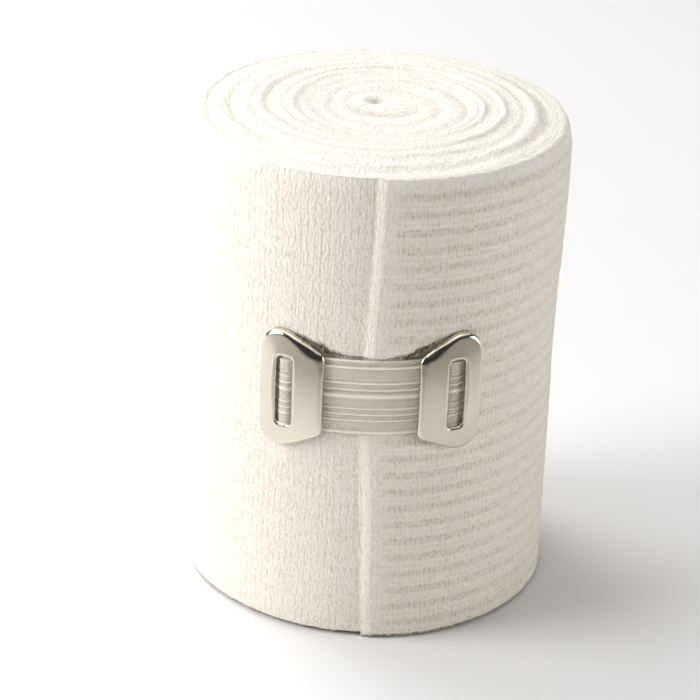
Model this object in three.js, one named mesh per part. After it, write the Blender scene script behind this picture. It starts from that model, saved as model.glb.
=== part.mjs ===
// An elastic bandage wound into a roll, standing on one end, with the free end held down by a
// clip: a short ribbed elastic strap between two slotted metal plates.
// Millimetres, +Z up. The clip faces -Y. The origin is under the middle of the whole object.
import * as THREE from 'three';
import { LoftGeometry } from 'three/addons/geometries/LoftGeometry.js';

// The cloth.
const cloth_width = 80; // from selvedge to selvedge, which is the height of the roll
const turn_gap = 0.35; // clear space between one turn and the next
const selvedge_round = 0.7; // how far the soft edges of the cloth round off
const free_end_azimuth = -0.5; // degrees from the front, positive towards the right
const last_turn_part = 0.25; // the winding starts this far into the last turn but one row
const steps_per_turn = 40;

// One row for each turn, from the free end inwards. The first four columns are the distance from
// the axis to the outer face of the cloth where the turn passes the front, the right, the back
// and the left. The fifth is how far the turn has slid up past the outermost one, which alone
// touches the surface, where the turn passes the front.
// The last row is the wall of the small hole that is left in the middle.
const turns = [
  { front: 30.7, right: 30.3, back: 30.3, left: 30.0, slid_up: 0.0 },
  { front: 28.8, right: 28.4, back: 28.4, left: 28.1, slid_up: 0.0 },
  { front: 26.7, right: 26.3, back: 25.3, left: 24.2, slid_up: 1.1 },
  { front: 23.5, right: 23.1, back: 21.9, left: 20.6, slid_up: 1.3 },
  { front: 20.5, right: 20.7, back: 19.2, left: 18.1, slid_up: 1.3 },
  { front: 18.0, right: 18.8, back: 17.1, left: 15.4, slid_up: 1.2 },
  { front: 16.0, right: 17.2, back: 15.1, left: 13.0, slid_up: 1.1 },
  { front: 14.2, right: 15.8, back: 13.3, left: 10.8, slid_up: 1.0 },
  { front: 12.3, right: 13.9, back: 11.0, left: 8.0, slid_up: 0.9 },
  { front: 8.4, right: 9.3, back: 7.5, left: 5.3, slid_up: 0.7 },
  { front: 5.0, right: 6.2, back: 4.7, left: 3.6, slid_up: 0.6 },
  { front: 2.2, right: 2.4, back: 2.4, left: 2.4, slid_up: 0.6 },
];

// The clip. Across is measured round the roll, up along its axis.
const clip_height = 43.6; // middle of the clip above the surface
const clip_azimuth = 1.4; // middle of the clip, degrees from the front
const clip_length = 36.7; // over both plates, along the cloth
const clip_radius = { left: 30.5, right: 33.3 }; // it lies a turn deeper left of the free end
const clip_rise = 0.035; // the clip climbs this much for each millimetre towards the right
const clip_seat_gap = 0.3; // the clip's clearance from the cloth
const bridge_span = 11; // degrees in which the strap comes down past the free end's step

const strap_width = 12.4;
const strap_thickness = 1;
const strap_round = 0.3;
const strap_end_inset = 1.2; // the strap ends this far inside the outer side of each plate
const strap_step = 2; // degrees

const plate = {
  width: 10.8, // from the outer side to the side that the strap runs out of
  outer_height: 19.9,
  inner_height: 13.4,
  slope_start: 4.3, // from the outer side to where the upper and lower sides start to slope
  corner: 3.4, // rounding of the outer corners
  inner_corner: 0.9, // rounding of the corners next to the strap
};
const slot = { width: 2.8, height: 11.6, from_outer_side: 4.4 };
const loop_steps = 56; // sections in the ring of metal round the slot

// The metal's section from its rim to its slot. Each row is a point: the edge that it is measured
// from, how far it lies in from that edge, and how high it stands above the cloth.
const plate_section = [
  { edge: 'rim', inset: 0, height: 0.3 },
  { edge: 'rim', inset: 0, height: 1.95 },
  { edge: 'rim', inset: 0.5, height: 2.5 },
  { edge: 'rim', inset: 1.1, height: 2.7 },
  { edge: 'slot', inset: 0.6, height: 2.75 },
  { edge: 'slot', inset: 0, height: 2.3 },
  { edge: 'slot', inset: 0, height: 1.75 },
  { edge: 'rim', inset: 0.7, height: 1.75 },
  { edge: 'rim', inset: 0.7, height: 0.3 },
];
const strap_clearance = 1.6; // height of the rim where the strap runs out under it
const rim_lift = { from: 7, to: 9 }; // across the plate, where the rim rises over the strap

const cloth_material = new THREE.MeshStandardMaterial({ color: 0xf3f0e8, roughness: 0.95 });
const strap_material = new THREE.MeshStandardMaterial({ color: 0xe3ded4, roughness: 0.85 });
const nickel_material = new THREE.MeshStandardMaterial({
  color: 0xd2cdc4,
  roughness: 0.2,
  metalness: 1,
});

// Distance from the axis to the outer face of the cloth, that many turns in from the free end.
const quarters = turns.flatMap((turn) => [turn.front, turn.right, turn.back, turn.left]);
const face_curve = new THREE.CubicInterpolant(
  quarters.map((_, index) => index / 4),
  quarters,
  1,
);
const slide_curve = new THREE.LinearInterpolant(
  turns.map((_, index) => index),
  turns.map((turn) => turn.slid_up),
  1,
);

function faceRadius(turn) {
  return face_curve.evaluate(turn)[0];
}

// A point at an azimuth in degrees, 0 at the front and 90 on the right.
function aroundAxis(azimuth, radius, height) {
  const angle = THREE.MathUtils.degToRad(azimuth);
  return new THREE.Vector3(radius * Math.sin(angle), -radius * Math.cos(angle), height);
}

// A rectangle with cut corners, as pairs of distance from the axis and height.
function stripSection(inner, outer, bottom, top, round) {
  return [
    [inner + round, bottom],
    [inner, bottom + round],
    [inner, top - round],
    [inner + round, top],
    [outer - round, top],
    [outer, top - round],
    [outer, bottom + round],
    [outer - round, bottom],
  ];
}

// The cloth, one band wound from the free end to the hole in the middle.
function windRoll() {
  const length = turns.length - 2 + last_turn_part;
  const sections = [];
  for (let step = 0; step <= length * steps_per_turn; step++) {
    const turn = step / steps_per_turn;
    const azimuth = free_end_azimuth + turn * 360;
    const outer = faceRadius(turn);
    const inner = faceRadius(turn + 1) + turn_gap;
    const round = Math.min(selvedge_round, 0.4 * (outer - inner));
    const bottom = slide_curve.evaluate(turn)[0];
    const section = stripSection(inner, outer, bottom, bottom + cloth_width, round);
    sections.push(section.map(([radius, height]) => aroundAxis(azimuth, radius, height)));
  }
  return new LoftGeometry(sections, { capStart: true, capEnd: true });
}

// Distance from the axis to the surface that the clip lies on. Right of the free end that is the
// outermost turn. Left of it the strap comes down gradually to the turn below.
function clipSeat(azimuth) {
  const from_end = azimuth - free_end_azimuth;
  if (from_end >= 0) {
    return faceRadius(from_end / 360);
  }
  const fall = THREE.MathUtils.smoothstep(-from_end, 0, bridge_span);
  return THREE.MathUtils.lerp(faceRadius(0), faceRadius(1 + from_end / 360), fall);
}

// A point of the clip: how far it lies along the cloth from the clip's middle, how far up from
// it, and how high above the cloth.
function clipPoint(along, up, height) {
  const radius = along < 0 ? clip_radius.left : clip_radius.right;
  const azimuth = clip_azimuth + THREE.MathUtils.radToDeg(along / radius);
  const level = clip_height + clip_rise * along;
  return aroundAxis(azimuth, clipSeat(azimuth) + height, level + up);
}

function makeStrap() {
  const half_length = clip_length / 2 - strap_end_inset;
  const steps = Math.round((2 * half_length) / THREE.MathUtils.degToRad(strap_step) / faceRadius(0));
  const top = clip_seat_gap + strap_thickness;
  const half_width = strap_width / 2;
  const section = stripSection(clip_seat_gap, top, -half_width, half_width, strap_round);
  const sections = [];
  for (let step = 0; step <= steps; step++) {
    const along = half_length * (2 * (step / steps) - 1);
    sections.push(section.map(([height, up]) => clipPoint(along, up, height)));
  }
  return new LoftGeometry(sections, { capStart: true, capEnd: true });
}

// The plate's outline seen from the front, as X across from its outer side and Y up.
function plateOutline() {
  const { width, corner, inner_corner, slope_start } = plate;
  const high = plate.outer_height / 2;
  const low = plate.inner_height / 2;
  const outline = new THREE.Shape();
  outline.moveTo(width, 0);
  outline.lineTo(width, low - inner_corner);
  outline.quadraticCurveTo(width, low, width - inner_corner, low + inner_corner * 0.7);
  outline.lineTo(slope_start + 1, high - 0.5);
  outline.quadraticCurveTo(slope_start, high, slope_start - 1, high);
  outline.quadraticCurveTo(0, high, 0, high - corner);
  outline.lineTo(0, corner - high);
  outline.quadraticCurveTo(0, -high, slope_start - 1, -high);
  outline.quadraticCurveTo(slope_start, -high, slope_start + 1, 0.5 - high);
  outline.lineTo(width - inner_corner, -low - inner_corner * 0.7);
  outline.quadraticCurveTo(width, -low, width, inner_corner - low);
  outline.lineTo(width, 0);
  return outline;
}

function slotOutline() {
  const radius = slot.width / 2;
  const straight = slot.height / 2 - radius;
  const outline = new THREE.Shape();
  outline.moveTo(slot.from_outer_side + radius, 0);
  outline.lineTo(slot.from_outer_side + radius, straight);
  outline.absarc(slot.from_outer_side, straight, radius, 0, Math.PI, false);
  outline.lineTo(slot.from_outer_side - radius, -straight);
  outline.absarc(slot.from_outer_side, -straight, radius, Math.PI, 2 * Math.PI, false);
  outline.lineTo(slot.from_outer_side + radius, 0);
  return outline;
}

// One plate, a ring of bent sheet metal round its slot. Side is -1 on the left, 1 on the right.
function makePlate(side) {
  const rim_points = plateOutline().getSpacedPoints(loop_steps);
  const slot_points = slotOutline().getSpacedPoints(loop_steps);
  const sections = rim_points.map((rim_point, index) => {
    const slot_point = slot_points[index];
    const inward = slot_point.clone().sub(rim_point).normalize();
    const lifted = THREE.MathUtils.smoothstep(rim_point.x, rim_lift.from, rim_lift.to);
    const lowest = THREE.MathUtils.lerp(clip_seat_gap, strap_clearance, lifted);
    return plate_section.map(({ edge, inset, height }) => {
      const at = edge === 'rim'
        ? rim_point.clone().addScaledVector(inward, inset)
        : slot_point.clone().addScaledVector(inward, -inset);
      const along = side * (clip_length / 2 - at.x);
      return clipPoint(along, at.y, Math.max(height, lowest));
    });
  });
  if (side < 0) {
    sections.forEach((section) => section.reverse());
  }
  return new LoftGeometry(sections);
}

const object = new THREE.Group();

function addPiece(name, geometry, material) {
  const mesh = new THREE.Mesh(geometry, material);
  mesh.name = name;
  object.add(mesh);
}

addPiece('bandage_roll', windRoll(), cloth_material);
addPiece('elastic_strap', makeStrap(), strap_material);
addPiece('clip_plate_left', makePlate(-1), nickel_material);
addPiece('clip_plate_right', makePlate(1), nickel_material);

// The origin goes under the middle of the box round all four pieces.
const box = new THREE.Box3().setFromObject(object);
const middle = box.getCenter(new THREE.Vector3());
object.position.set(-middle.x, -middle.y, -box.min.z);

export default object;
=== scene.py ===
"""An elastic crepe bandage wound into a roll and stood on one end. A clip holds its free end: a
short ribbed elastic strap between two slotted plates of polished nickel.

Lengths are in millimetres until put_mesh turns them to metres. Azimuths are in degrees round the
roll's axis, 0 at the front and positive towards the right."""

import collections
import math

import bpy
import numpy as np
from mathutils import Matrix, Vector


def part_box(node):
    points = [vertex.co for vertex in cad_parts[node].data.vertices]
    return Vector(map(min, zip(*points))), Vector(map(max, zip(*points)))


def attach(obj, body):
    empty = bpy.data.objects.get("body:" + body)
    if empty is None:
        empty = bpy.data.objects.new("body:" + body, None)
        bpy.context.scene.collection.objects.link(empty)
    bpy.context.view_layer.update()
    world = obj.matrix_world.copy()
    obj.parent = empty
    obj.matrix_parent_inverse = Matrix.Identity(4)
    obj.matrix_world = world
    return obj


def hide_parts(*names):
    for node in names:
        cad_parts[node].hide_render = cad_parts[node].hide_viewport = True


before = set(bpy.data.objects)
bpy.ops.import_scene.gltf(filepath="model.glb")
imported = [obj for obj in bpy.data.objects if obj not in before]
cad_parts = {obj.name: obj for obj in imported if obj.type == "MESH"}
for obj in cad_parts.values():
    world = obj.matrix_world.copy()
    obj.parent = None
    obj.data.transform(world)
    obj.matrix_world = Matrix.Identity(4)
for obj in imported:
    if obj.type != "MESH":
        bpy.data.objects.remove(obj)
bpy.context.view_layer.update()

MM = 0.001

# The winding, one row for each turn from the free end inwards: the distance from the axis to the
# outer face of the cloth at the front, the right, the back and the left, then how far the turn has
# slid up past the outermost one.
TURNS = [
    (30.7, 30.3, 30.3, 30.0, 0.0),
    (28.8, 28.4, 28.4, 28.1, 0.0),
    (26.7, 26.3, 25.3, 24.2, 0.65),
    (23.5, 23.1, 21.9, 20.6, 1.05),
    (20.5, 20.7, 19.2, 18.1, 1.3),
    (18.0, 18.8, 17.1, 15.4, 1.2),
    (16.0, 17.2, 15.1, 13.0, 1.1),
    (14.2, 15.8, 13.3, 10.8, 1.0),
    (12.3, 13.9, 11.0, 8.0, 0.9),
    (8.4, 9.3, 7.5, 5.3, 0.7),
    (5.0, 6.2, 4.7, 3.6, 0.6),
    (2.2, 2.4, 2.4, 2.4, 0.6),
]
# How deep the groove is between each turn and the one outside it, at the same four places. The
# first row has no neighbour: it is how far down the outermost selvedge starts to round over.
GROOVES = [
    (1.2, 1.6, 1.2, 1.2),
    (0.0, 0.0, 0.28, 0.2),
    (0.12, 0.28, 0.12, 0.25),
    (0.1, 0.16, 0.26, 0.16),
    (0.16, 0.1, 0.15, 0.16),
    (0.1, 0.1, 0.2, 0.1),
    (0.08, 0.08, 0.08, 0.12),
    (0.08, 0.2, 0.06, 0.05),
    (0.1, 0.28, 0.1, 0.12),
    (0.15, 0.2, 0.1, 0.08),
    (0.3, 0.12, 0.15, 0.1),
]
CLOTH_WIDTH = 80.0
FREE_END_AZIMUTH = -0.5
WOUND_TURNS = 10.25
LAST_TURN = WOUND_TURNS - 1  # from here in, the inner face is the wall of the hole
FACE_TURNS = 1.03  # from here in, only the rim shows
TURN_GAP = 0.02
BOTTOM_ROUND = 1.1
CORE_DEPTH = 0.7  # how far the middle of the top is sunk
CORE_SHIFT = (-0.8, 2.8)  # how far the middle is drawn off the axis at the top

# The knit.
WALE_AT_FREE_END = 0.84  # mm from one lengthwise row of loops to the next, where it is stretched
WALE_RELAXED = 1.05
BAND_REPEAT = 2.97  # mm from one crosswise band to the next
BAND_START = 0.55  # how far into its first repeat the cloth's lower selvedge lies
ROW_STEP = 0.6  # mm between rows of points up the outermost turn
GAP_ROWS = (49.2, 54.3)  # between these heights there are twice as many rows
RIM_STEP = 0.8  # mm between cross-sections in the turns of which only the rim shows

# The clip.
CLIP_HEIGHT = 43.6
CLIP_AZIMUTH = 1.4
CLIP_LENGTH = 36.7
CLIP_RADIUS = (30.5, 33.3)  # it lies a turn deeper left of the free end
CLIP_RISE = 0.035
SEAT_FALL = (-24, 15)  # degrees from the free end over which the clip's seat steps down
STRAP_WIDTH = 12.6
FRONT_PLY = 11.62  # the front ply is narrower, so the back one shows above it
STRAP_END_INSET = 1.2  # the strap ends this far inside the outer side of each plate
PLATE_WIDTH = 10.8
PLATE_HEIGHT = 19.9
PLATE_INNER_HEIGHT = 13.4
PLATE_SLOPE_START = 4.3  # from the outer side to where the upper and lower sides start to slope
PLATE_CORNER = 3.4
PLATE_INNER_CORNER = 0.9
PLATE_STEPS = 168  # sections in the ring of metal round the slot
SLOT_WIDTH = 2.8
SLOT_HEIGHT = 11.6
SLOT_INSET = 4.4  # from the plate's outer side to the middle of the slot
SLOT_CORNER = 0.9


def linear(code, alpha=1.0):
    """An sRGB hex colour as the linear colour that shaders take."""
    values = [int(code[i : i + 2], 16) / 255 for i in (1, 3, 5)]
    turned = [v / 12.92 if v <= 0.04045 else ((v + 0.055) / 1.055) ** 2.4 for v in values]
    return (*turned, alpha)


def smoothstep(value, low, high):
    share = np.clip((np.asarray(value, float) - low) / (high - low), 0.0, 1.0)
    return share * share * (3 - 2 * share)


def natural_curve(samples):
    """The second derivatives of the cubic curve through evenly spaced samples."""
    count = len(samples)
    matrix = np.eye(count)
    wanted = np.zeros(count)
    for i in range(1, count - 1):
        matrix[i, i - 1 : i + 2] = (1, 4, 1)
        wanted[i] = 6 * (samples[i - 1] - 2 * samples[i] + samples[i + 1])
    return np.linalg.solve(matrix, wanted)


FACE_SAMPLES = np.array([distance for row in TURNS for distance in row[:4]])
FACE_BENDS = natural_curve(FACE_SAMPLES)


def face_radius(turn):
    """Distance from the axis to the cloth's outer face, that many turns in from the free end."""
    at = np.clip(np.asarray(turn, float) * 4, -1.0, len(FACE_SAMPLES) - 1.0)
    left = np.clip(np.floor(at), 0, len(FACE_SAMPLES) - 2).astype(int)
    b = at - left
    a = 1 - b
    curve = a * FACE_SAMPLES[left] + b * FACE_SAMPLES[left + 1]
    curve += ((a**3 - a) * FACE_BENDS[left] + (b**3 - b) * FACE_BENDS[left + 1]) / 6
    return curve


def slid_up(turn):
    return np.interp(turn, np.arange(len(TURNS)), [row[4] for row in TURNS])


def groove_depth(turn):
    samples = [depth for row in GROOVES for depth in row]
    depth = np.interp(np.asarray(turn, float) * 4, np.arange(len(samples)), samples)
    return np.where(turn > WOUND_TURNS, CORE_DEPTH, depth)


def roll_axis():
    """Where the roll's axis stands in the frame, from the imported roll's own box."""
    _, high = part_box("bandage_roll")
    turn = np.linspace(0, 1, 721)
    angle = np.radians(FREE_END_AZIMUTH + 360 * turn)
    across = face_radius(turn) * np.sin(angle)
    behind = -face_radius(turn) * np.cos(angle)
    return high[0] / MM - across.max(), high[1] / MM - behind.max()


AXIS_X, AXIS_Y = roll_axis()


def around(azimuth, radius, height):
    """Points at azimuths in degrees, in the frame, in millimetres."""
    angle = np.radians(azimuth)
    x = AXIS_X + radius * np.sin(angle)
    y = AXIS_Y - radius * np.cos(angle)
    return np.stack(np.broadcast_arrays(x, y, height), -1)


def from_front(azimuth):
    """The same azimuth between -180 and 180 degrees."""
    return (azimuth + 180) % 360 - 180


def soft_noise(x, y, seed):
    """Smooth noise from -1 to 1 with bumps about 1 apart. It repeats after 256. Each use has its
    own seed."""
    x, y = np.broadcast_arrays(np.asarray(x, float), np.asarray(y, float))
    grid = np.random.default_rng(seed).uniform(-1, 1, (256, 256))
    left = np.floor(x).astype(int)
    low = np.floor(y).astype(int)
    s = smoothstep(x - left, 0, 1)
    t = smoothstep(y - low, 0, 1)
    here, after = left % 256, (left + 1) % 256
    under, over = low % 256, (low + 1) % 256
    near = grid[here, under] * (1 - t) + grid[here, over] * t
    far = grid[after, under] * (1 - t) + grid[after, over] * t
    return near * (1 - s) + far * s


def line_noise(along, seed):
    """Smooth noise from -1 to 1 along a line, with bumps about 1 apart."""
    return soft_noise(along, np.zeros(1), seed)


# ---- Cloth ----


def cloth_face(turn):
    """The outer face with the small unevenness that it shares with the turn pressed on it. Beside
    the free end the cloth swells out, which hides most of the end's thickness."""
    run = np.interp(turn, TURN_LIST, LENGTH_LIST, right=LENGTH_LIST[-1] + 15)
    uneven = 0.16 * line_noise(run / 8.0, 31) + 0.09 * line_noise(run / 2.3, 32)
    uneven = uneven * smoothstep(turn, 1.02, 1.15) * (1 - smoothstep(turn, 10, 11))
    swell = 1.0 * smoothstep(turn, 0.86, 0.99) * (1 - smoothstep(turn, 1.04, 1.15))
    return face_radius(turn) + uneven + swell


def crest_height(turn):
    """The highest line of the selvedge."""
    run = np.interp(turn, TURN_LIST, LENGTH_LIST)
    uneven = 0.2 * line_noise(run / 13.0, 33) + 0.08 * line_noise(run / 4.0, 34)
    inside = smoothstep(turn, 0.9, 1.2)
    return CLOTH_WIDTH - 0.1 + slid_up(turn) + uneven * inside


def groove_height(turn):
    """Height of the line where a turn meets the one outside it."""
    mean = (crest_height(turn) + crest_height(np.maximum(turn - 1, 0))) / 2
    shared = np.where(turn < 1, crest_height(turn), mean)
    return shared - groove_depth(turn)


def length_to_turn():
    """Two matching lists: turns from the free end, and the cloth's length up to each."""
    turn = np.linspace(0, WOUND_TURNS, 4001)
    middle = (face_radius(turn) + face_radius(turn + 1) + TURN_GAP) / 2
    steps = np.diff(turn) * 2 * math.pi * (middle[1:] + middle[:-1]) / 2
    return turn, np.concatenate([[0], np.cumsum(steps)])


TURN_LIST, LENGTH_LIST = length_to_turn()
CLOTH_LENGTH = LENGTH_LIST[-1]
OUTER_LENGTH = np.interp(FACE_TURNS, TURN_LIST, LENGTH_LIST)


def turn_of(lengths):
    return np.interp(lengths, LENGTH_LIST, TURN_LIST)[:, None]


def wale_width(length):
    share = smoothstep(length, 40, 150)
    return WALE_AT_FREE_END + (WALE_RELAXED - WALE_AT_FREE_END) * share


def ring_places():
    """How far along the cloth each cross-section stands, and its wale count: two to a wale on the
    outermost turn. The first few are closer together, where the end rounds off."""
    lengths = [0.0, 0.06, 0.18, 0.34, 0.55]
    wales = [0.0, 0.1, 0.25, 0.4, 0.6]
    at = 0.84
    wale = 1.0
    while at < CLOTH_LENGTH:
        lengths.append(at)
        wales.append(wale)
        wide = float(wale_width(at))
        step = wide / 2 if at < OUTER_LENGTH else RIM_STEP
        at += step
        wale += step / wide
    lengths.append(CLOTH_LENGTH)
    wales.append(wale)
    return np.array(lengths), np.array(wales)


# A closed cross-section of the cloth, point by point: the side, from 1 at the outer face to -1 at
# the inner, the height, whether it is on the upper rim, the outward direction there as (away from
# the axis, up), and the distance round, with one more value for the way back to the start.
Section = collections.namedtuple("Section", "side height rim away up over")


def section_points(rows_out, rim_steps, rows_in, bottom_steps):
    """A cross-section with these heights on its outer and inner face."""
    points = [(1.0, z, 0, 1.0, 0.0) for z in rows_out]
    for step in range(rim_steps + 1):
        angle = math.pi * step / rim_steps
        side = math.cos(angle)
        points.append((side, CLOTH_WIDTH - 0.9 * side**2, 1, side, math.sin(angle)))
    points += [(-1.0, z, 0, -1.0, 0.0) for z in rows_in]
    for step in range(1, bottom_steps + 1):
        angle = math.pi * step / (bottom_steps + 1)
        height = BOTTOM_ROUND * (1 - math.sin(angle))
        points.append((-math.cos(angle), height, 0, -math.cos(angle), -math.sin(angle)))
    side, height, rim, away, up = np.array(points).T
    closed = np.append(np.arange(len(points)), 0)
    run = np.hypot(np.diff(height[closed]), 1.2 * np.diff(side[closed]))
    over = np.concatenate([[0], np.cumsum(run)]) + rows_out[0]
    return Section(side, height, rim > 0, away, up, over)


def clip_reach(across):
    """Half the clip's height: the strap's in the middle, the plates' further out."""
    inner = CLIP_LENGTH / 2 - PLATE_WIDTH
    slope = np.interp(across, [inner, inner + 6.5], [PLATE_INNER_HEIGHT / 2, PLATE_HEIGHT / 2])
    return np.where(across < inner, STRAP_WIDTH / 2, slope)


def clip_place(azimuth, height):
    """How far a point lies along the cloth, and up, from the middle of the clip."""
    radius = np.where(azimuth < CLIP_AZIMUTH, *CLIP_RADIUS)
    along = np.radians(azimuth - CLIP_AZIMUTH) * radius
    return along, height - CLIP_HEIGHT - CLIP_RISE * along


def clip_press(azimuth, height):
    """How far the clip pushes the cloth in, or makes it bulge beside the clip, and the greatest
    distance from the axis that it leaves to the cloth."""
    along, level = clip_place(azimuth, height)
    across = np.abs(along)
    over = level - clip_reach(across)
    below = -level - clip_reach(across)
    beside = 1 - smoothstep(across, 13.0, 18)
    under = (1 - smoothstep(over, -0.7, 0.1)) * (1 - smoothstep(below, -0.7, 0.1))
    rise = 0.5 - 0.2 * smoothstep(across, 8, 13)
    width = np.where(over < 1.0, 0.8, 3.0)
    upper = rise * np.exp(-(((over - 1.0) / width) ** 2)) - 0.6 * clip_gap(along, over)
    width = np.where(below < 1.0, 0.9, 2.6)
    lower = 0.3 * np.exp(-(((below - 1.0) / width) ** 2))
    press = np.where(under > 0.5, -0.4 * under, upper + lower)
    return beside * press, np.where(under > 0.5, clip_seat(azimuth) - 0.08, 99.0)


def clip_gap(along, over):
    """1 in the ragged gap above the clip, which is widest at the plates' inner corners. It sinks the cloth
    there, and the cloth's colour takes painted shade from it.
    """
    across = np.abs(along)
    corner = np.exp(-(((across - 7.8) / 3.0) ** 2))
    ragged = soft_noise(along / 0.9, over / 0.9, 35)
    middle = 0.2 + 0.35 * corner + 0.2 * ragged
    half = 0.2 + 0.55 * corner
    fade = 0.45 + 0.65 * corner
    return fade * np.exp(-(((over - middle) / half) ** 2)) * (1 - smoothstep(across, 11.5, 13.5))


def free_end_shift(height):
    """The free end's edge isn't quite straight: the clip draws it to the left."""
    places = [0, 8, 20, 28, 37, 44, 52, 64, 80]
    shifts = [0.75, 0.2, 0.0, -0.4, -1.1, -1.0, -0.7, -0.1, 0.35]
    return np.interp(height, places, shifts)


def band_profile(height):
    """The crosswise bands over one repeat: a low knobbly band, then two smooth ridges."""
    at = np.mod(height + BAND_START, BAND_REPEAT)
    low = 1 - smoothstep(np.abs(at - 0.65), 0.45, 0.8)
    first = np.exp(-(((at - 1.55) / 0.28) ** 2))
    second = np.exp(-(((at - 2.65) / 0.28) ** 2))
    return low, first + second


def band_strength(length):
    """The bands show most near the free end, where the cloth was drawn tight."""
    start = smoothstep(length, 2.6, 5.0)
    fade = 1 - 0.5 * smoothstep(length, 10, 36) - 0.4 * smoothstep(length, 100, 160)
    return start * fade


def knit_relief(length, wale, section, seed):
    """How far each loop and band stands out of the cloth's outer face or its upper rim, and how far
    the loops of the lower selvedge draw back."""
    side = section.side
    loops = soft_noise(wale, section.over[:-1] / 1.3, seed)
    fuzz = soft_noise(length / 0.75, section.over[:-1] / 0.7, seed + 5)
    low_band, ridges = band_profile(section.height)
    banding = band_strength(length)
    crest = np.cos(2 * math.pi * wale)
    face = crest * (0.012 + 0.01 * smoothstep(length, 90, 150)) + loops * 0.012
    face = face + banding * (0.02 * ridges - 0.035 * low_band)
    face = face * smoothstep(length, 1.5, 4.0)
    face = face * ((side > 0.99) & (section.height > 2)) * (length < OUTER_LENGTH)
    face = face - (0.25 * np.abs(loops) + 0.4 * np.abs(fuzz)) * (section.up < 0)
    return np.where(section.rim, (0.05 * loops + 0.07 * fuzz) * (1 - side**4), face)


def lean(turn, height):
    """The outermost turn's shoulder falls in a little towards the top."""
    return 0.45 * smoothstep(height, 76, 79.5) * (1 - smoothstep(turn, 1.04, 1.15))


def flare(azimuth, height):
    """The outermost turn stands a little off the roll at the upper right."""
    return 0.75 * np.exp(-(((azimuth - 85) / 45) ** 2)) * smoothstep(height, 40, 74)


def droop(azimuth, radius, height):
    """At the right the top rounds down over the two outer turns together."""
    near_right = np.exp(-(((azimuth - 85) / 50) ** 2)) * smoothstep(height, 70, 78)
    return 0.25 * near_right * np.clip((radius - 27) / 3.8, 0, 1.2) ** 2


def core_pinch(turn, height, side):
    """The innermost edge leans in over the hole, so that only a dimple shows at the top."""
    near_top = smoothstep(height, 60, 79)
    reach = np.maximum(face_radius(turn + 1) - 0.03, 0)
    return -reach * near_top * smoothstep(turn, LAST_TURN - 0.02, LAST_TURN) * (1 - side) / 2


def core_shift(radius, height):
    """The middle of the roll is drawn to the left and the back at the top."""
    share = np.clip(1 - (radius / 7.5) ** 2, 0, 1) ** 2 * smoothstep(height, 60, 79)
    return share[..., None] * (*CORE_SHIFT, 0.0)


def cloth_level(turn, section):
    """Height of each point, which on the upper rim goes from one groove over the crest to the
    next. On the outermost turn the rim rounds over fully at the outer face."""
    side = section.side
    crest = crest_height(turn)
    outer_drop = crest - groove_height(turn)
    inner_drop = crest - groove_height(turn + 1)
    round_over = 1 - np.sqrt(1 - np.clip(side, 0, 1) ** 2)
    soft = smoothstep(np.abs(side), 0.1, 1.0)
    outside = 1 - smoothstep(turn, 0.97, 1.0)
    outer_shape = round_over * outside + soft * (1 - outside)
    drop = np.where(side > 0, outer_drop * outer_shape, inner_drop * soft)
    return np.where(section.rim, crest - drop, section.height + slid_up(turn))


def cloth_slide(length, wale, turn, height, seed):
    """How far the loops of the outermost turn, and its edge, stray along it."""
    waver = 0.22 * soft_noise(wale / 6.0, height / 4.0, seed)
    shift = free_end_shift(height) * (1 - smoothstep(length, 0, 30))
    return (waver * smoothstep(length, 3, 7) + shift) * (np.abs(turn - 0.5) < 0.6)


def cloth_rings(lengths, wales, section, seed):
    """Points of the cloth's cross-sections, one row for each."""
    side = section.side
    length = lengths[:, None]
    wale = wales[:, None]
    turn = turn_of(lengths)
    azimuth = FREE_END_AZIMUTH + 360 * turn
    inner = cloth_face(turn + 1) + TURN_GAP
    welt = 0.12 + 0.7 * smoothstep(length, -0.3, 1.9)
    whole = cloth_face(turn) - inner
    outer = inner + welt + (whole - welt) * smoothstep(length, 2.2, 9.0)
    level = cloth_level(turn, section)
    relief = knit_relief(length, wale, section, seed)
    press, limit = clip_press(from_front(azimuth), section.height)
    press = press * (turn < 1.0) * (side + 1) / 2

    middle = (outer + inner) / 2
    radius = middle + side * (outer - inner) / 2 + relief * section.away + press
    radius = np.where((turn < 1.0) & (side > 0), np.minimum(radius, limit), radius)
    radius = radius + core_pinch(turn, level, side)
    leaning = (1 + side) / 2 * lean(turn, level) + (1 - side) / 2 * lean(turn + 1, level)
    radius = radius - leaning + flare(azimuth, section.height) * (side + 1) / 2
    z = level + relief * section.up - droop(from_front(azimuth), radius, level)
    z = np.where(turn < 1.2, np.maximum(z, 0.0), z)

    slide = cloth_slide(length, wale, turn, section.height, seed + 2)
    azimuth = azimuth + np.degrees(slide / np.maximum(radius, 4))
    return (around(azimuth, radius, z) + core_shift(radius, z)).reshape(-1, 3)


def ring_faces(first, count, rings):
    """Four-cornered faces between neighbouring rings of the same number of points."""
    ring = np.arange(rings - 1)[:, None] * count + first
    here = np.arange(count)[None, :]
    after = (here + 1) % count
    corners = [ring + here, ring + count + here, ring + count + after, ring + after]
    return np.stack(corners, -1).reshape(-1, 4)


def end_faces(first_count, last_count, total):
    """The two faces that close a run of rings, whose first and last ring have these counts."""
    return [list(range(first_count)), list(range(total - 1, total - last_count - 1, -1))]


def joining_faces(first_a, over_a, first_b, over_b):
    """Triangles between two rings of different numbers of points, matched by the distance round."""
    faces = []
    i = 0
    j = 0
    count_a = len(over_a) - 1
    count_b = len(over_b) - 1
    share_a = over_a / over_a[-1]
    share_b = over_b / over_b[-1]
    while i < count_a or j < count_b:
        a = first_a + i % count_a
        b = first_b + j % count_b
        if j == count_b or (i < count_a and share_a[i + 1] <= share_b[j + 1]):
            faces.append((a, b, first_a + (i + 1) % count_a))
            i += 1
        else:
            faces.append((a, b, first_b + (j + 1) % count_b))
            j += 1
    return faces


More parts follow.
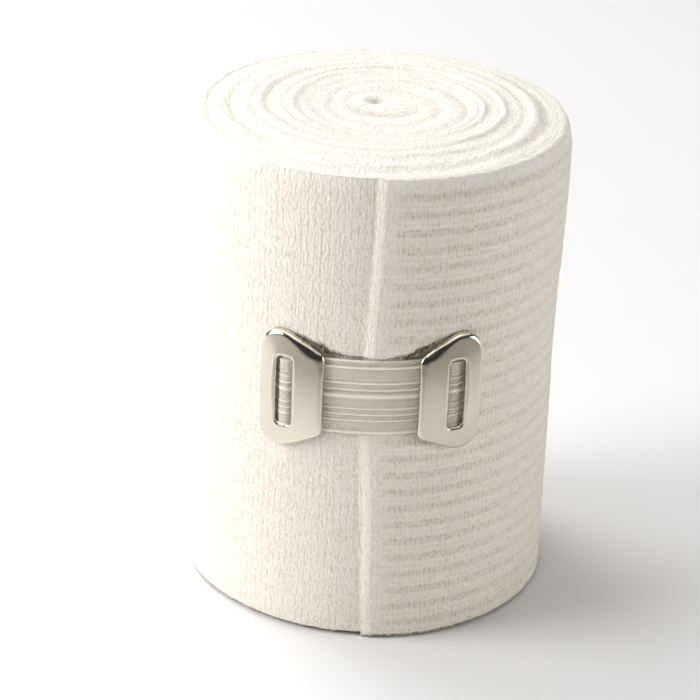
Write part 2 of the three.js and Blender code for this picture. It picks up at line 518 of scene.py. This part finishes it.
def put_mesh(name, points, faces, material, smooth=True):
    """A mesh object from points in millimetres."""
    mesh = bpy.data.meshes.new(name)
    mesh.from_pydata((np.asarray(points) * MM).tolist(), [], [tuple(face) for face in faces])
    mesh.materials.append(material)
    mesh.polygons.foreach_set("use_smooth", [smooth] * len(mesh.polygons))
    mesh.update()
    made = bpy.data.objects.new(name, mesh)
    bpy.context.scene.collection.objects.link(made)
    return made


def corner_points(mesh):
    """The point at each corner of each face."""
    corners = np.empty(len(mesh.loops), int)
    mesh.loops.foreach_get("vertex_index", corners)
    return corners


def put_map(mesh, name, pairs):
    """A map on the surface, from a pair of values for each corner."""
    layer = mesh.uv_layers.new(name=name)
    layer.uv.foreach_set("vector", pairs.astype(np.float32).ravel())


def store(mesh, name, values):
    """Values for each point, which a material reads by their name."""
    attribute = mesh.attributes.new(name, "FLOAT", "POINT")
    attribute.data.foreach_set("value", np.asarray(values, np.float32))


def map_cloth(mesh, wale_of, over_of, ends):
    """The knit's own map: wales along the cloth, and millimetres across it. Where a face crosses
    the start of a cross-section, its low values go up by the distance round."""
    corners = corner_points(mesh)
    starts = np.empty(len(mesh.polygons), int)
    mesh.polygons.foreach_get("loop_start", starts)
    over = over_of[corners]
    highest = np.maximum.reduceat(over, starts)
    counts = np.diff(np.append(starts, len(corners)))
    wraps = over < np.repeat(highest, counts) - ends / 2
    over = np.where(wraps, over + ends, over)
    put_map(mesh, "knit", np.stack([wale_of[corners], over], 1))


def banding_share(lengths, wales, section):
    """How strongly the bands show, which is only on the outermost turn's outer face."""
    strength = band_strength(lengths) * (lengths <= OUTER_LENGTH)
    return strength[:, None] * ((section.side > 0.99) & ~section.rim)


def selvedge_share(lengths, wales, section):
    """1 on the crest of the upper rim, fading out down its outer side: where tufts stand, and where the
    yarn is painted whiter as painted light.
    """
    return np.where(section.rim, 1 - 0.7 * smoothstep(section.side, 0.55, 1.0), 0.0)


def painted_shade_share(lengths, wales, section):
    """How much painted shade each point gets: 0 over the crest of the rim, rising down between two turns
    and under the lower selvedge, and 1 in the gap above the clip."""
    turn = turn_of(lengths)
    deep = np.where(section.side > 0, groove_depth(turn), groove_depth(turn + 1))
    # Painted shade down the sides of each groove between turns, stronger in the dimple in the middle of the
    # top, and a fixed painted shade on the faces below the rim inside the roll.
    share = 0.26 * smoothstep(np.abs(section.side), 0.25, 1.0) * np.clip(deep / 0.5, 0.0, 1)
    share = share * (1 + 0.9 * smoothstep(turn, LAST_TURN, LAST_TURN + 0.25))
    share = np.where(section.rim, share, 0.4 * (section.height > 20))
    azimuth = from_front(FREE_END_AZIMUTH + 360 * turn)
    along, level = clip_place(azimuth, section.height)
    # The ragged gap above the clip is painted dark as painted shade.
    gap = clip_gap(along, level - clip_reach(np.abs(along))) * (turn < 0.999)
    # A painted contact shadow: the underside of the lower selvedge is painted brown where it meets the
    # paper.
    painted_contact_shadow = 0.7 * smoothstep(-section.up, 0.25, 0.9)
    outside = (section.side > 0) & (turn < 1.04)
    return np.where(outside, gap + painted_contact_shadow, share)


def cloth_parts():
    """The outermost turn and the rest: the lengths and wales of the cross-sections of each, their
    points, and a seed. The outermost has closer rows, and the closest above the clip."""
    lengths, wales = ring_places()
    split = int((lengths <= OUTER_LENGTH).sum())
    rows = np.arange(0.9, CLOTH_WIDTH - 2.1, ROW_STEP)
    rows = np.sort(np.concatenate([rows, np.arange(*GAP_ROWS, ROW_STEP)]))
    fine = section_points(rows, 12, (74, 40, 6, BOTTOM_ROUND), 8)
    plain = section_points(np.array([0.9, 40, 76.0]), 10, (74, BOTTOM_ROUND), 3)
    return (lengths[:split], wales[:split], fine, 11), (lengths[split:], wales[split:], plain, 12)


def spread(parts, value_of):
    """A value for every point of the cloth, from a function that gives those of one part."""
    values = []
    for lengths, wales, section, seed in parts:
        shape = (len(lengths), len(section.side))
        values.append(np.broadcast_to(value_of(lengths, wales, section), shape).ravel())
    return np.concatenate(values)


def cloth_faces(parts):
    (fine_lengths, _, fine, _), (plain_lengths, _, plain, _) = parts
    fine_count = len(fine.side)
    plain_count = len(plain.side)
    first_plain = len(fine_lengths) * fine_count
    total = first_plain + len(plain_lengths) * plain_count
    faces = ring_faces(0, fine_count, len(fine_lengths)).tolist()
    faces += joining_faces(first_plain - fine_count, fine.over, first_plain, plain.over)
    faces += ring_faces(first_plain, plain_count, len(plain_lengths)).tolist()
    return faces + end_faces(fine_count, plain_count, total)


def make_cloth(material):
    parts = cloth_parts()
    points = np.concatenate([cloth_rings(*part) for part in parts])
    cloth = put_mesh("bandage_cloth", points, cloth_faces(parts), material)
    cloth.data.set_sharp_from_angle(angle=math.radians(60))
    wale_of = spread(parts, lambda lengths, wales, section: wales[:, None])
    over_of = spread(parts, lambda lengths, wales, section: section.over[:-1])
    outer_over = parts[0][2].over
    map_cloth(cloth.data, wale_of, over_of, float(outer_over[-1] - outer_over[0]))
    store(cloth.data, "banding", spread(parts, banding_share))
    store(cloth.data, "painted_shade", spread(parts, painted_shade_share))
    store(cloth.data, "selvedge", spread(parts, selvedge_share))
    from_core = points[:, :2] - (AXIS_X + CORE_SHIFT[0], AXIS_Y + CORE_SHIFT[1])
    store(cloth.data, "nap", smoothstep(np.hypot(*from_core.T), 0.8, 3.5))
    return cloth


# ---- Clip ----


def clip_seat(azimuth):
    """Distance from the axis to the surface that the clip lies on. Left of the free end it comes
    down gradually to the turn below."""
    from_end = np.asarray(azimuth, float) - FREE_END_AZIMUTH
    right = face_radius(np.maximum(from_end, 0) / 360)
    left = cloth_face(1 + np.minimum(from_end, 0) / 360) + 0.05
    return left + (right - left) * smoothstep(from_end, *SEAT_FALL)


def clip_point(along, up, height):
    """A point that far along and up from the clip's middle, and that high above its seat."""
    azimuth = CLIP_AZIMUTH + np.degrees(along / np.where(along < 0, *CLIP_RADIUS))
    level = CLIP_HEIGHT + CLIP_RISE * along
    return around(azimuth, clip_seat(azimuth) + height, level + up)


# Covered rubber threads stand up as ribs: how far each lies from the lower edge, its half width
# and its height. The first and the last two are bound edges.
STRAP_RIBS = [
    (0.4, 0.2, 1.0),
    (2.47, 0.14, 0.9),
    (2.9, 0.09, 0.4),
    (3.5, 0.14, 0.9),
    (4.53, 0.14, 0.9),
    (6.67, 0.3, 1.0),
    (7.79, 0.16, 0.9),
    (8.39, 0.09, 0.4),
    (8.9, 0.16, 1.0),
    (9.6, 0.09, 0.4),
    (FRONT_PLY - 0.14, 0.12, 1.3),
    (STRAP_WIDTH - 0.12, 0.1, 1.0),
]


def rib_share(up):
    """1 on a rib, 0 on the plain weave between, and less in the lines beside each rib."""
    share = 0
    for place, half, high in STRAP_RIBS:
        off = np.abs(up - place)
        share = share + high * np.exp(-((off / half) ** 2))
        share = share - 0.45 * high * np.exp(-(((off - 2.2 * half) / (0.7 * half)) ** 2))
    return share


def strap_profile(up):
    """Height of the strap's front over its back: ribs, with plain woven strips between them, a
    bound lower edge, and the back ply alone above the front ply's bound edge."""
    front = smoothstep(up, -0.15, 0.2) * (1 - smoothstep(up, FRONT_PLY - 0.08, FRONT_PLY + 0.06))
    back_edge = 1 - 0.7 * smoothstep(up, STRAP_WIDTH - 0.2, STRAP_WIDTH)
    return 0.42 * back_edge + front * 0.38 + 0.14 * rib_share(up) * (0.4 + 0.6 * front)


def slot_bulge(along):
    """The webbing swells up into each slot, more on the left."""
    off = np.abs(along) - (CLIP_LENGTH / 2 - SLOT_INSET)
    return np.where(along < 0, 0.9, 0.35) * (1 - smoothstep(np.abs(off), 0.5, 1.6))


def make_strap(material):
    """Two plies. The back one shows as a thin strip above the front one."""
    half = CLIP_LENGTH / 2 - STRAP_END_INSET
    alongs = np.linspace(-half, half, 96)[:, None]
    ups = np.linspace(0, STRAP_WIDTH, 150)
    back_ups = np.linspace(STRAP_WIDTH, 0.0, 7)
    section_up = np.concatenate([ups, back_ups]) - STRAP_WIDTH / 2
    section_high = np.concatenate([strap_profile(ups), np.full(len(back_ups), 0.02)])
    weave = soft_noise(alongs / 0.42, ups / 0.3, 21) * 0.02 + slot_bulge(alongs)
    weave = np.concatenate([weave, np.zeros((len(alongs), len(back_ups)))], 1)
    rings = clip_point(alongs, section_up, section_high + weave)
    count = len(section_up)
    faces = ring_faces(0, count, len(alongs)).tolist()
    faces += end_faces(count, count, len(alongs) * count)
    strap = put_mesh("clip_strap", rings.reshape(-1, 3), faces, material)
    flat = np.stack(np.broadcast_arrays(alongs, section_up + STRAP_WIDTH / 2), -1)
    put_map(strap.data, "weave", flat.reshape(-1, 2)[corner_points(strap.data)])
    store(strap.data, "rib", np.tile(rib_share(section_up + STRAP_WIDTH / 2), len(alongs)))
    return strap


def quadratic(start, middle, end, steps=12):
    """Points along a curve, up to but not including its end."""
    share = np.linspace(0, 1, steps, endpoint=False)[:, None]
    start, middle, end = (np.array(point, float) for point in (start, middle, end))
    return (1 - share) ** 2 * start + 2 * share * (1 - share) * middle + share**2 * end


def evenly(points, count):
    """A closed outline as that many evenly spaced points."""
    closed = np.vstack([points, points[:1]])
    run = np.concatenate([[0], np.cumsum(np.hypot(*np.diff(closed, axis=0).T))])
    at = np.linspace(0, run[-1], count, endpoint=False)
    return np.stack([np.interp(at, run, closed[:, 0]), np.interp(at, run, closed[:, 1])], 1)


def closed_outline(runs):
    """A whole outline from the runs of points of its upper half."""
    upper = np.vstack(runs)
    lower = upper[::-1] * (1, -1)
    return np.vstack([upper, lower[:-1]])


def plate_outline():
    """The plate from the front, X across from its outer side and Y up, starting beside the strap."""
    high = PLATE_HEIGHT / 2
    low = PLATE_INNER_HEIGHT / 2
    near = PLATE_WIDTH
    corner = PLATE_INNER_CORNER
    slope = PLATE_SLOPE_START
    runs = [
        [[near, 0.0]],
        quadratic((near, low - corner), (near, low), (near - corner, low + 0.7 * corner)),
        quadratic((slope + 1, high - 0.5), (slope, high), (slope - 1, high)),
        quadratic((slope - 1, high), (0.0, high), (0.0, high - PLATE_CORNER)),
        [[0.0, high - PLATE_CORNER]],
    ]
    return closed_outline(runs)


def slot_outline():
    """The slot, with its rounded corners, starting on the side of the strap."""
    near = SLOT_INSET + SLOT_WIDTH / 2
    far = SLOT_INSET - SLOT_WIDTH / 2
    high = SLOT_HEIGHT / 2
    low = high - SLOT_CORNER
    runs = [
        [[near, 0.0]],
        quadratic((near, low), (near, high), (near - SLOT_CORNER, high)),
        quadratic((far + SLOT_CORNER, high), (far, high), (far, low)),
        [[far, low]],
    ]
    return closed_outline(runs)


# The metal's section from its rim to its slot: the edge that each point is measured from, how far
# in from it, and the height above the cloth.
RIM_SIDE_TOP = 1.25
RIM_ROUND_TOP = 1.75
FACE_HEIGHT = 2.16
BEVEL_START = 0.3  # how far in from the rim
BEVEL_DROP = 0.37  # how far the face comes down over the bevel
PLATE_SECTION = [
    ("rim", 0.0, 0.1),
    ("rim", 0.0, 0.7),
    ("rim", 0.0, RIM_SIDE_TOP),
    ("rim", 0.02, 1.46),
    ("rim", 0.08, 1.6),
    ("rim", 0.18, 1.71),
    ("rim", 0.32, 1.79),
    ("rim", 0.6, 1.94),
    ("rim", 0.9, 2.06),
    ("rim", 1.2, 2.13),
    ("rim", 1.6, FACE_HEIGHT),
    ("slot", 1.25, FACE_HEIGHT),
    ("slot", 1.0, 2.18),
    ("slot", 0.7, 2.21),
    ("slot", 0.45, 2.21),
    ("slot", 0.25, 2.15),
    ("slot", 0.1, 2.02),
    ("slot", 0.02, 1.85),
    ("slot", 0.0, 1.62),
    ("slot", 0.15, 1.52),
    ("rim", 0.8, 1.45),
    ("rim", 0.4, 1.1),
    ("rim", 0.4, 0.1),
]


def plate_bevel(rim):
    """Width of the bevel along the rim. It is widest at the upper corner next to the strap."""
    near_corner = np.exp(-(((rim[:, 0] - 9.2) / 2.4) ** 2)) * smoothstep(rim[:, 1], 4, 6)
    return 0.36 + 0.85 * near_corner


def plate_bend(side, at, height):
    """How far the plate's face is bent off the cloth's own curve: its ends lie lower, and its
    outer and inner sides stand up on the right plate and lie down a little on the left one."""
    across = (at[:, 0] - PLATE_WIDTH / 2) / (PLATE_WIDTH / 2)
    up = at[:, 1] / (PLATE_HEIGHT / 2)
    sideways = 0.35 if side > 0 else -0.1
    return (sideways * across**2 - 0.75 * up**2) * min(height / 1.4, 1)


def make_plate(name, side, material):
    """One stamped plate. Side is -1 for the left one and 1 for the right one."""
    rim = evenly(plate_outline(), PLATE_STEPS)
    hole = evenly(slot_outline(), PLATE_STEPS)
    inward = hole - rim
    inward /= np.linalg.norm(inward, axis=1)[:, None]
    # The rim comes down to 0.1 mm above the cloth, and to 1.15 mm where it crosses the strap.
    lowest = 0.1 + (1.15 - 0.1) * smoothstep(rim[:, 0], 7, 9)
    bevel = plate_bevel(rim)
    columns = []
    for edge, inset, height in PLATE_SECTION:
        upper = edge == "rim" and height > RIM_SIDE_TOP
        if upper and height > RIM_ROUND_TOP:
            inset = BEVEL_START + (inset - BEVEL_START) * bevel[:, None]
        at = rim + inward * inset if edge == "rim" else hole - inward * inset
        along = side * (CLIP_LENGTH / 2 - at[:, 0])
        lowered = min(FACE_HEIGHT - height, BEVEL_DROP) * (bevel - 1) if upper else 0
        above = np.maximum(height - lowered, lowest) + plate_bend(side, at, height)
        columns.append(clip_point(along, at[:, 1], above))
    rings = np.stack(columns, 1)[:, ::-side]
    size = len(PLATE_SECTION)
    faces = ring_faces(0, size, PLATE_STEPS + 1) % (PLATE_STEPS * size)
    return put_mesh(name, rings.reshape(-1, 3), faces.tolist(), material)


# ---- Materials ----


def add_node(tree, kind, inputs=(), **settings):
    """Adds a node with its settings. Inputs are values, or the sockets that feed them, by name or
    in order."""
    node = tree.nodes.new("ShaderNode" + kind)
    for name, value in settings.items():
        setattr(node, name, value)
    for name, value in inputs.items() if isinstance(inputs, dict) else enumerate(inputs):
        if isinstance(value, bpy.types.NodeSocket):
            tree.links.new(value, node.inputs[name])
        else:
            node.inputs[name].default_value = value
    return node


def new_material(name):
    material = bpy.data.materials.new(name)
    material.use_nodes = True
    material.node_tree.nodes.clear()
    return material, material.node_tree


def finish_material(tree, shader):
    output = tree.nodes.new("ShaderNodeOutputMaterial")
    tree.links.new(shader, output.inputs["Surface"])


def set_ramp(node, stops):
    """Stops are (place, grey level) pairs on a colour ramp."""
    ramp = node.color_ramp
    while len(ramp.elements) < len(stops):
        ramp.elements.new(0.5)
    for element, (place, level) in zip(ramp.elements, stops):
        element.position = place
        element.color = (level, level, level, 1)
    return node.outputs["Color"]


def loop_pile(tree, place, shifted, wale, selvedge):
    """The knit's own height: about 0 down between the strands and about 1 on top of them, and loose
    tufts along the selvedge."""
    # Each leg of a loop is a strand under half a wale wide and about 0.8 mm long.
    legs = add_node(tree, "VectorMath", [shifted, (2.0, 1.25, 0.0)], operation="MULTIPLY").outputs[0]
    long_legs = add_node(tree, "VectorMath", [legs, (1.4, 0.75, 0.0)], operation="MULTIPLY").outputs[0]
    strands = add_node(
        tree, "TexNoise", {"Vector": long_legs, "Scale": 1.0, "Detail": 2.0}, noise_dimensions="2D"
    ).outputs["Fac"]
    # The wales stand side by side as faint columns.
    around_wale = add_node(tree, "Math", [wale, 2 * math.pi], operation="MULTIPLY").outputs[0]
    column = add_node(tree, "Math", [around_wale], operation="COSINE").outputs[0]
    strands = add_node(tree, "Math", [column, 0.07, strands], operation="MULTIPLY_ADD").outputs[0]
    # Loops stand up as small rounded cells, two to a wale.
    loops = add_node(
        tree, "TexVoronoi", {"Vector": legs, "Scale": 1.0, "Randomness": 0.6}, voronoi_dimensions="2D"
    ).outputs["Distance"]
    # Nap and single fibres, drawn at 0.25 mm, which is several times their real width.
    fibres = add_node(
        tree,
        "TexNoise",
        {"Vector": shifted, "Scale": 4.4, "Detail": 2.0, "Roughness": 0.65},
        noise_dimensions="2D",
    ).outputs["Fac"]
    mound = add_node(tree, "Math", [loops, -0.7, strands], operation="MULTIPLY_ADD").outputs[0]
    face = add_node(tree, "Math", [fibres, 0.6, mound], operation="MULTIPLY_ADD").outputs[0]
    face = add_node(tree, "MapRange", [face, 0.2, 0.85, 0.0, 1.0]).outputs[0]
    tufts = add_node(
        tree, "TexNoise", {"Vector": place, "Scale": 2.1, "Detail": 3.0}, noise_dimensions="2D"
    ).outputs["Fac"]
    tufts = add_node(tree, "MapRange", [tufts, 0.3, 0.7, 0.0, 1.0]).outputs[0]
    return add_node(tree, "Mix", {0: selvedge, 2: face, 3: tufts}).outputs[0]


def band_openings(tree, wale, over, pile, banding):
    """In each low band a row of small openings shows, two to a wale. Returns how far a place is in
    a low band, and how far in an opening."""
    repeat = add_node(
        tree, "Math", [over, 1 / BAND_REPEAT, BAND_START / BAND_REPEAT], operation="MULTIPLY_ADD"
    ).outputs[0]
    phase = add_node(tree, "Math", [repeat], operation="FRACT").outputs[0]
    stops = [(0.0, 0.6), (0.1, 1.0), (0.36, 1.0), (0.5, 0.0), (0.62, 0.0), (0.7, 0.45)]
    stops += [(0.78, 0.0), (0.92, 0.0)]
    low_band = set_ramp(add_node(tree, "ValToRGB", [phase]), stops)
    low_band = add_node(tree, "Math", [low_band, banding], operation="MULTIPLY").outputs[0]
    turned = add_node(tree, "Math", [wale, 4 * math.pi], operation="MULTIPLY").outputs[0]
    wave = add_node(tree, "Math", [turned], operation="COSINE").outputs[0]
    opening = add_node(tree, "Math", [wave, 0.35, 0.85], operation="MULTIPLY_ADD").outputs[0]
    opening = add_node(tree, "Math", [opening, pile], operation="SUBTRACT", use_clamp=True).outputs[0]
    opening = add_node(tree, "Math", [opening, low_band], operation="MULTIPLY").outputs[0]
    return low_band, opening


def knitted_cotton_crepe():
    """Cotton crepe knitted with an elastic thread, unbleached white: fully matt, with a soft nap that
    catches light at the edges. Painted into its colour are warm shade down between the loops, darker shade
    in the grooves of the top, in the gap above the clip and under the lower selvedge, and a whiter selvedge
    where the rim stands in the light."""
    material, tree = new_material("knitted_cotton_crepe")
    place = add_node(tree, "UVMap", uv_map="knit").outputs["UV"]
    banding, painted_shade, selvedge, nap = (
        add_node(tree, "Attribute", attribute_name=name).outputs["Fac"]
        for name in ("banding", "painted_shade", "selvedge", "nap")
    )

    # The wales wander by a tenth of their width, over about 2 mm.
    wander = add_node(tree, "TexNoise", {"Vector": place, "Scale": 0.5}, noise_dimensions="2D")
    moved = [wander.outputs["Color"], (0.12, 0.2, 0.0), place]
    shifted = add_node(tree, "VectorMath", moved, operation="MULTIPLY_ADD").outputs[0]
    parts = add_node(tree, "SeparateXYZ", [shifted])
    wale = parts.outputs["X"]
    pile = loop_pile(tree, place, shifted, wale, selvedge)
    low_band, opening = band_openings(tree, wale, parts.outputs["Y"], pile, banding)

    # Shade gathers between the strands, and in the low bands most of all.
    patchy = [wander.outputs["Fac"], -0.35, 0.45]
    patches = add_node(tree, "Math", patchy, operation="MULTIPLY_ADD").outputs[0]
    between = [pile, -0.52, patches]
    shade = add_node(tree, "Math", between, operation="MULTIPLY_ADD", use_clamp=True).outputs[0]
    shade = add_node(tree, "Math", [low_band, 0.1, shade], operation="MULTIPLY_ADD").outputs[0]
    shade = add_node(tree, "Math", [opening, 0.26, shade], operation="MULTIPLY_ADD").outputs[0]
    # The selvedge is painted a little whiter: painted light for the rim, which stands up in the light and
    # gets less warm shade from within the knit.
    yarn_with_lit_rim = add_node(
        tree, "Mix", {0: selvedge, 6: linear("#F9F4E9"), 7: linear("#FBF8F1")}, data_type="RGBA"
    ).outputs[2]
    warm = add_node(tree, "Mix", {0: shade, 6: yarn_with_lit_rim, 7: linear("#C0B496")}, data_type="RGBA").outputs[2]
    # Single loops stand up light out of the shade.
    ragged = add_node(tree, "Math", [pile, -1.0, 1.5], operation="MULTIPLY_ADD").outputs[0]
    shaded = add_node(tree, "Math", [painted_shade, ragged], operation="MULTIPLY", use_clamp=True).outputs[0]
    # Painted shade: a dark brown mixed in down the grooves of the top, in the dimple, on the faces inside
    # the roll, in the gap above the clip and under the lower selvedge.
    deep = add_node(tree, "Mix", {0: shaded, 6: warm, 7: linear("#7E6C4E")}, data_type="RGBA").outputs[2]

    height = add_node(tree, "Math", [opening, -0.5, pile], operation="MULTIPLY_ADD").outputs[0]
    relief = add_node(tree, "Bump", {"Height": height, "Distance": 0.00009, "Strength": nap})
    shader = add_node(
        tree,
        "BsdfPrincipled",
        {
            "Base Color": deep,
            "Roughness": 0.95,
            "IOR": 1.5,
            "Specular IOR Level": 0.2,
            "Sheen Weight": 0.15,
            "Sheen Roughness": 0.5,
            "Normal": relief.outputs["Normal"],
        },
    )
    finish_material(tree, shader.outputs["BSDF"])
    return material


def woven_elastic_webbing():
    """Cotton and polyester woven over rubber threads, off-white going grey: matt, the covered threads
    smoother and lighter than the fine dotted weave between them, partly by their own whiter colour and
    partly as a painted highlight on the raised ribs, with painted shade in the lines beside each rib."""
    material, tree = new_material("woven_elastic_webbing")
    place = add_node(tree, "UVMap", uv_map="weave").outputs["UV"]
    rib = add_node(tree, "Attribute", attribute_name="rib").outputs["Fac"]
    # Picks of weft 0.35 mm apart along the strap, floating over ends 0.3 mm apart.
    picks = add_node(tree, "VectorMath", [place, (3.4, 3.6, 0.0)], operation="MULTIPLY").outputs[0]
    weave = add_node(
        tree, "TexVoronoi", {"Vector": picks, "Scale": 1.0, "Randomness": 0.6}, voronoi_dimensions="2D"
    ).outputs["Distance"]
    # Threads lie along the strap, each a little different from the next.
    lines = add_node(tree, "VectorMath", [place, (0.25, 4.5, 0.0)], operation="MULTIPLY").outputs[0]
    threads = add_node(
        tree, "TexNoise", {"Vector": lines, "Scale": 1.0, "Detail": 1.0}, noise_dimensions="2D"
    ).outputs["Fac"]
    # The ribs are lighter partly by the covered threads' own colour and partly as a painted highlight; the
    # lines beside each rib are darker as painted shade in the grooves there.
    plain = add_node(tree, "Math", [1.0, rib], operation="SUBTRACT").outputs[0]
    woven = add_node(tree, "Clamp", [plain]).outputs[0]
    dots = add_node(tree, "Math", [weave, woven], operation="MULTIPLY").outputs[0]
    dark = add_node(tree, "Math", [plain, 0.42, -0.1], operation="MULTIPLY_ADD").outputs[0]
    dark = add_node(tree, "Math", [dots, 0.8, dark], operation="MULTIPLY_ADD").outputs[0]
    dark = add_node(tree, "Math", [threads, 0.35, dark], operation="MULTIPLY_ADD").outputs[0]
    share = add_node(tree, "MapRange", [dark, 0.1, 1.6, 0.0, 1.0]).outputs[0]
    colour = add_node(
        tree, "Mix", {0: share, 6: linear("#FBF7EC"), 7: linear("#B9AD93")}, data_type="RGBA"
    ).outputs[2]
    relief = add_node(tree, "Bump", {"Height": dots, "Distance": 0.00012, "Strength": 1.0}, invert=True)
    shader = add_node(
        tree,
        "BsdfPrincipled",
        {
            "Base Color": colour,
            "Roughness": 0.85,
            "IOR": 1.5,
            "Specular IOR Level": 0.3,
            "Sheen Weight": 0.1,
            "Sheen Roughness": 0.5,
            "Normal": relief.outputs["Normal"],
        },
    )
    finish_material(tree, shader.outputs["BSDF"])
    return material


def polished_nickel_plate():
    """Steel stamped to shape and nickel plated over a polish: a warm mirror, a little wavy from
    the press."""
    material, tree = new_material("polished_nickel_plate")
    place = add_node(tree, "TexCoord").outputs["Object"]
    waves = add_node(tree, "TexNoise", {"Vector": place, "Scale": 350.0, "Detail": 1.0}).outputs["Fac"]
    wear = add_node(
        tree, "TexNoise", {"Vector": place, "Scale": 900.0, "Detail": 3.0, "Roughness": 0.7}
    ).outputs["Fac"]
    roughness = add_node(tree, "MapRange", [wear, 0.3, 0.7, 0.12, 0.2]).outputs[0]
    relief = add_node(tree, "Bump", {"Height": waves, "Distance": 0.00003, "Strength": 0.6})
    shader = add_node(
        tree,
        "BsdfPrincipled",
        {
            "Base Color": linear("#E2DBCB"),
            "Metallic": 1.0,
            "Roughness": roughness,
            "Normal": relief.outputs["Normal"],
        },
    )
    finish_material(tree, shader.outputs["BSDF"])
    return material


def matt_paper():
    """A seamless paper sweep, plain white, that goes on in the light far from the object. For the polished
    metal only, the paper in front is painted a darker grey, a painted reflection of a darker room in front."""
    material, tree = new_material("matt_white_paper")
    place = add_node(tree, "TexCoord").outputs["Object"]
    behind = add_node(tree, "SeparateXYZ", [place]).outputs["Y"]
    # Painted reflection: for glossy rays only, the paper in front of the roll turns a darker grey.
    painted_reflection_ahead = add_node(tree, "MapRange", [behind, -0.06, -0.15, 0.0, 1.0]).outputs[0]
    path = add_node(tree, "LightPath")
    share = add_node(tree, "Math", [painted_reflection_ahead, path.outputs["Is Glossy Ray"]], operation="MULTIPLY").outputs[0]
    colour = add_node(
        tree, "Mix", {0: share, 6: linear("#EFEFF1"), 7: linear("#A6A39C")}, data_type="RGBA"
    ).outputs[2]
    shader = add_node(tree, "BsdfPrincipled", {"Base Color": colour, "Roughness": 0.9})
    away = add_node(tree, "VectorMath", [place], operation="LENGTH").outputs["Value"]
    fading = [away, 0.33, 0.75, 0.0, 1.0]
    far = add_node(tree, "MapRange", fading, interpolation_type="SMOOTHSTEP").outputs[0]
    far = add_node(tree, "Math", [far, path.outputs["Is Camera Ray"]], operation="MULTIPLY").outputs[0]
    lit = add_node(tree, "Emission", [linear("#FFFFFF"), 1.0]).outputs[0]
    mixed = add_node(tree, "MixShader", [far, shader.outputs["BSDF"], lit]).outputs[0]
    finish_material(tree, mixed)
    return material


# ---- Studio ----

# A big window on the left, a second one behind it, a lit ceiling and a pale wall on the right: the
# place of each in metres, its width and its power.
LAMPS = {
    "left_window": ((-0.8, -0.15, 0.45), 0.6, 7.2),
    "back_window": ((-0.45, 0.45, 0.7), 0.6, 4.4),
    "ceiling": ((-0.05, 0.05, 0.95), 0.6, 2.1),
    "right_wall": ((0.8, -0.2, 0.2), 0.6, 2.5),
}
FILL_STRENGTH = 0.165


def make_camera():
    """A long lens, 0.45 m in front of the roll's axis and 0.25 m up, with a slight turn of the
    frame."""
    pitch = math.radians(25.16)
    yaw = math.radians(-0.42)
    roll = math.radians(2.31)
    forward = np.array([math.sin(yaw) * math.cos(pitch), math.cos(yaw) * math.cos(pitch), -math.sin(pitch)])
    right = np.cross(forward, (0, 0, 1))
    right /= np.linalg.norm(right)
    up = np.cross(right, forward)
    turned_right = right * math.cos(roll) + up * math.sin(roll)
    turned_up = up * math.cos(roll) - right * math.sin(roll)
    data = bpy.data.cameras.new("camera")
    data.sensor_width = 36
    data.lens = 152
    data.clip_start = 0.01
    data.clip_end = 20
    camera = bpy.data.objects.new("camera", data)
    bpy.context.scene.collection.objects.link(camera)
    place = np.array([AXIS_X, AXIS_Y - 444.9, 246.2]) * MM
    columns = np.stack([turned_right, turned_up, -forward, place], 1)
    camera.matrix_world = Matrix([*columns.tolist(), [0, 0, 0, 1]])
    bpy.context.scene.camera = camera


def add_lamp(name, place, target, size, power):
    data = bpy.data.lights.new(name, "AREA")
    data.shape = "DISK"
    data.size = size
    data.energy = power
    lamp = bpy.data.objects.new(name, data)
    bpy.context.scene.collection.objects.link(lamp)
    lamp.location = place
    direction = Vector(target) - lamp.location
    lamp.rotation_mode = "QUATERNION"
    lamp.rotation_quaternion = direction.to_track_quat("-Z", "Y")


def make_studio():
    """White paper with a big soft window to the left and a little behind, white walls and ceiling,
    and a darker room in front, which only the metal shows."""
    size = 4000.0
    corners = [(-size, -size, 0), (size, -size, 0), (size, size, 0), (-size, size, 0)]
    floor = put_mesh("studio_floor", corners, [(0, 1, 2, 3)], matt_paper(), smooth=False)
    for name, (place, width, power) in LAMPS.items():
        add_lamp(name, place, (0, 0, 0.04), width, power)
    world = bpy.data.worlds.new("studio")
    world.use_nodes = True
    tree = world.node_tree
    tree.nodes.clear()
    path = add_node(tree, "LightPath")
    fill = add_node(tree, "Background", [linear("#FFF5E3"), FILL_STRENGTH]).outputs[0]
    white = add_node(tree, "Background", [linear("#FFFFFF"), 1.0]).outputs[0]
    direction = add_node(tree, "TexCoord").outputs["Generated"]
    steep = add_node(tree, "SeparateXYZ", [direction]).outputs["Z"]
    walls = set_ramp(
        add_node(tree, "ValToRGB", [steep]),
        [(0.0, 0.5), (0.06, 0.12), (0.3, 0.03), (0.72, 0.05), (0.8, 0.9), (1.0, 1.0)],
    )
    room = add_node(tree, "Background", [walls, 1.0]).outputs[0]
    unlit = add_node(tree, "MixShader", [path.outputs["Is Glossy Ray"], fill, room]).outputs[0]
    mixed = add_node(tree, "MixShader", [path.outputs["Is Camera Ray"], unlit, white]).outputs[0]
    output = tree.nodes.new("ShaderNodeOutputWorld")
    tree.links.new(mixed, output.inputs["Surface"])
    bpy.context.scene.world = world
    bpy.context.scene.view_settings.view_transform = "Standard"


make_camera()
make_studio()

nickel = polished_nickel_plate()
cloth = make_cloth(knitted_cotton_crepe())
strap = make_strap(woven_elastic_webbing())
left_plate = make_plate("clip_plate_left_fine", -1, nickel)
right_plate = make_plate("clip_plate_right_fine", 1, nickel)

for piece in (cloth, strap, left_plate, right_plate):
    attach(piece, "root")
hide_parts("bandage_roll")
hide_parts("elastic_strap")
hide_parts("clip_plate_left")
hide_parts("clip_plate_right")
